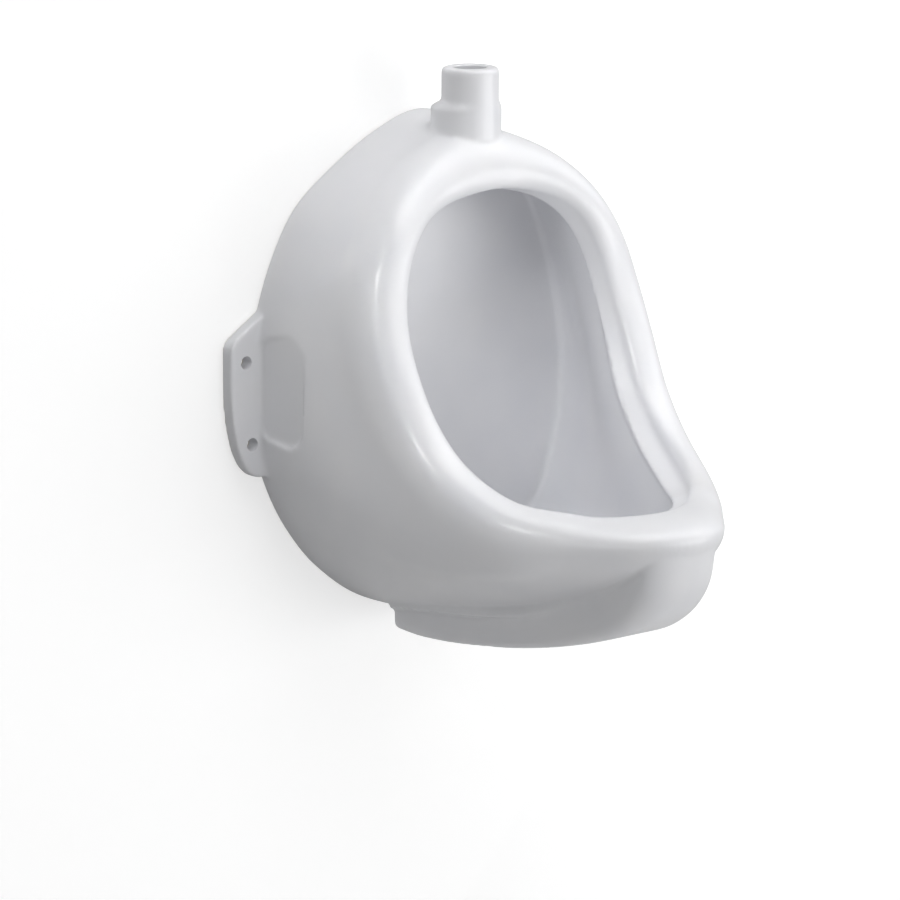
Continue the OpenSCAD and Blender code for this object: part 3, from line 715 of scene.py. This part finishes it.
def plain_brass():
    """Unplated brass, turned: warm yellow with rings from the tool, drawn 0.5 mm apart so that they show."""
    # a ring pattern of scale 1 repeats after this many metres
    ring_period = 0.314
    mat = new_material("turned_plain_brass")
    place = add_node(mat, "ShaderNodeTexCoord").outputs["Object"]
    centred = add_node(mat, "ShaderNodeMapping", {"Location": (0, OUTLET_D * MM, 0)}, Vector=place)
    rings = add_node(mat, "ShaderNodeTexWave", {
        "wave_type": "RINGS", "rings_direction": "Z", "Scale": ring_period / (0.5 * MM),
        "Distortion": 0.6, "Detail": 1.0}, Vector=centred.outputs["Vector"])
    dull = add_node(mat, "ShaderNodeTexNoise", {"Scale": 1 / (6 * MM), "Detail": 3.0}, Vector=place)
    tint = add_node(mat, "ShaderNodeMix", {"data_type": "RGBA", "A": srgb("#c9a04e"), "B": srgb("#dcb96c")})
    mat.node_tree.links.new(dull.outputs["Fac"], tint.inputs["Factor"])
    rough = add_node(mat, "ShaderNodeMapRange", {"To Min": 0.22, "To Max": 0.36}, Value=dull.outputs["Fac"])
    bump = add_node(mat, "ShaderNodeBump", {
        "Strength": 0.12, "Distance": 0.05 * MM}, Height=rings.outputs["Fac"])
    shader = add_node(mat, "ShaderNodeBsdfPrincipled", {"Metallic": 1.0}, Base_Color=tint.outputs["Result"],
                      Roughness=rough.outputs["Result"], Normal=bump.outputs["Normal"])
    return close_material(mat, shader.outputs["BSDF"])


china.data.materials.clear()
china.data.materials.append(glazed_china())
for make, names in ((chromed_brass, ("waste_body", "domed_grating")),
                    (seal_rubber, ("flange_seal", "rubber_washer", "grating_seal")),
                    (white_nylon, ("slip_washer",)), (plain_brass, ("back_nut",))):
    finish = make()
    for name in names:
        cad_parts[name].data.materials.clear()
        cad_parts[name].data.materials.append(finish)


# Wall and floor, in metres

WALL_HALF = 4.0
WALL_TOP = 3.0
WALL_GAP = 0.0004
FLOOR_Z = -0.75
FLOOR_FRONT = -5
PAINT = "#c8c8c8"
GLOW = 0.56


def backdrop(name, corners):
    """A pale matt plane with a glow that camera rays alone see, so that it renders nearly white.

    It is see-through from its back, so that it never hides the object, and it lets the light of the
    lamps through, so that the back of the china close to the wall isn't black. It still takes the
    object's shadow."""
    mesh = bpy.data.meshes.new(name)
    mesh.from_pydata(corners, [], [(0, 1, 2, 3)])
    mesh.update()
    obj = bpy.data.objects.new(name, mesh)
    bpy.context.scene.collection.objects.link(obj)
    mat = new_material(name + "_matt_paint")
    diffuse = add_node(mat, "ShaderNodeBsdfDiffuse", {"Color": srgb(PAINT)})
    light = add_node(mat, "ShaderNodeEmission", {"Color": (1, 1, 1, 1)})
    path = add_node(mat, "ShaderNodeLightPath")
    strength = add_node(mat, "ShaderNodeMath", {"operation": "MULTIPLY"})
    strength.inputs[1].default_value = GLOW
    mat.node_tree.links.new(path.outputs["Is Camera Ray"], strength.inputs[0])
    mat.node_tree.links.new(strength.outputs[0], light.inputs["Strength"])
    both = add_node(mat, "ShaderNodeAddShader")
    mat.node_tree.links.new(diffuse.outputs[0], both.inputs[0])
    mat.node_tree.links.new(light.outputs[0], both.inputs[1])
    clear = add_node(mat, "ShaderNodeBsdfTransparent")
    side = add_node(mat, "ShaderNodeNewGeometry")
    passes = add_node(mat, "ShaderNodeMath", {"operation": "MAXIMUM"})
    mat.node_tree.links.new(side.outputs["Backfacing"], passes.inputs[0])
    mat.node_tree.links.new(path.outputs["Is Shadow Ray"], passes.inputs[1])
    pick = add_node(mat, "ShaderNodeMixShader")
    mat.node_tree.links.new(passes.outputs[0], pick.inputs[0])
    mat.node_tree.links.new(both.outputs[0], pick.inputs[1])
    mat.node_tree.links.new(clear.outputs[0], pick.inputs[2])
    close_material(mat, pick.outputs[0])
    obj.data.materials.append(mat)


backdrop("wall", [(-WALL_HALF, WALL_GAP, FLOOR_Z), (WALL_HALF, WALL_GAP, FLOOR_Z),
                  (WALL_HALF, WALL_GAP, WALL_TOP), (-WALL_HALF, WALL_GAP, WALL_TOP)])
backdrop("floor", [(-WALL_HALF, FLOOR_FRONT, FLOOR_Z), (WALL_HALF, FLOOR_FRONT, FLOOR_Z),
                   (WALL_HALF, WALL_GAP, FLOOR_Z), (-WALL_HALF, WALL_GAP, FLOOR_Z)])


# Lamps, in metres and degrees

def lamp(name, place, aim, size, watts, spread=math.pi):
    """A square lamp at a place, turned to what it is aimed at."""
    light = bpy.data.lights.new(name, "AREA")
    light.shape = "RECTANGLE"
    light.size, light.size_y = size, size
    light.energy = watts
    light.spread = spread
    obj = bpy.data.objects.new(name, light)
    bpy.context.scene.collection.objects.link(obj)
    obj.location = place
    obj.rotation_euler = (Vector(aim) - Vector(place)).to_track_quat("-Z", "Y").to_euler()


def toward(azimuth, height):
    """Direction from the bowl. azimuth turns from straight ahead toward +X."""
    t, e = math.radians(azimuth), math.radians(height)
    return Vector((math.sin(t) * math.cos(e), -math.cos(t) * math.cos(e), math.sin(e)))


def far_lamp(name, azimuth, height, watts, size=2.0, away=3.0):
    """A large soft lamp aimed at the bowl."""
    aim = Vector((0, -0.12, -0.03))
    lamp(name, aim + away * toward(azimuth, height), aim, size, watts)


def bowl_lamp(name, azimuth, height, watts, size=0.3, away=1.6, spread=16):
    """A narrow lamp that reaches into the bowl from the left, so that its right wall isn't in shade."""
    aim = Vector((0.05, -0.12, 0))
    lamp(name, aim + away * toward(azimuth, height), aim, size, watts, math.radians(spread))


far_lamp("top_soft_box", -20, 70, 36)
far_lamp("low_front_fill", 10, 5, 17)
far_lamp("low_right_fill", 40, -14, 34)
far_lamp("right_high_soft_box", 62, 60, 19)
far_lamp("right_soft_box", 72, 30, 12)
bowl_lamp("bowl_left_low", -48, 8, 0.025)
bowl_lamp("bowl_left", -62, 30, 0.07)
lamp("behind_the_wall", (-0.5, 2.2, 0.6), (0, 0, 0), size=0.8, watts=0.6, spread=math.radians(30))

WORLD_STRENGTH = 0.14
world = bpy.data.worlds.new("soft_room")
bpy.context.scene.world = world
world.use_nodes = True
world.node_tree.nodes["Background"].inputs["Color"].default_value = (1, 1, 1, 1)
world.node_tree.nodes["Background"].inputs["Strength"].default_value = WORLD_STRENGTH


# Camera, in metres and radians, from a fit to the photo

YAW = 0.71254
PITCH = 0.21345
ROLL = 0.00456
CAMERA_X = -2.5936
CAMERA_Y = -3.0439
CAMERA_Z = 0.7753
FOCAL_PIXELS = 5346.1
IMAGE_PIXELS = 900
SENSOR_W = 36.0

forward = Vector((math.sin(YAW) * math.cos(PITCH), math.cos(YAW) * math.cos(PITCH), -math.sin(PITCH)))
right = Vector((math.cos(YAW), -math.sin(YAW), 0))
above = right.cross(forward)
right, above = (math.cos(ROLL) * right + math.sin(ROLL) * above,
                math.cos(ROLL) * above - math.sin(ROLL) * right)
camera_data = bpy.data.cameras.new("camera")
camera_data.sensor_width = SENSOR_W
camera_data.lens = FOCAL_PIXELS / IMAGE_PIXELS * camera_data.sensor_width
camera_data.clip_end = 50
camera = bpy.data.objects.new("camera", camera_data)
bpy.context.scene.collection.objects.link(camera)
camera.matrix_world = Matrix((
    (right.x, above.x, -forward.x, CAMERA_X),
    (right.y, above.y, -forward.y, CAMERA_Y),
    (right.z, above.z, -forward.z, CAMERA_Z),
    (0, 0, 0, 1)))
bpy.context.scene.camera = camera
bpy.context.scene.view_settings.view_transform = "Standard"
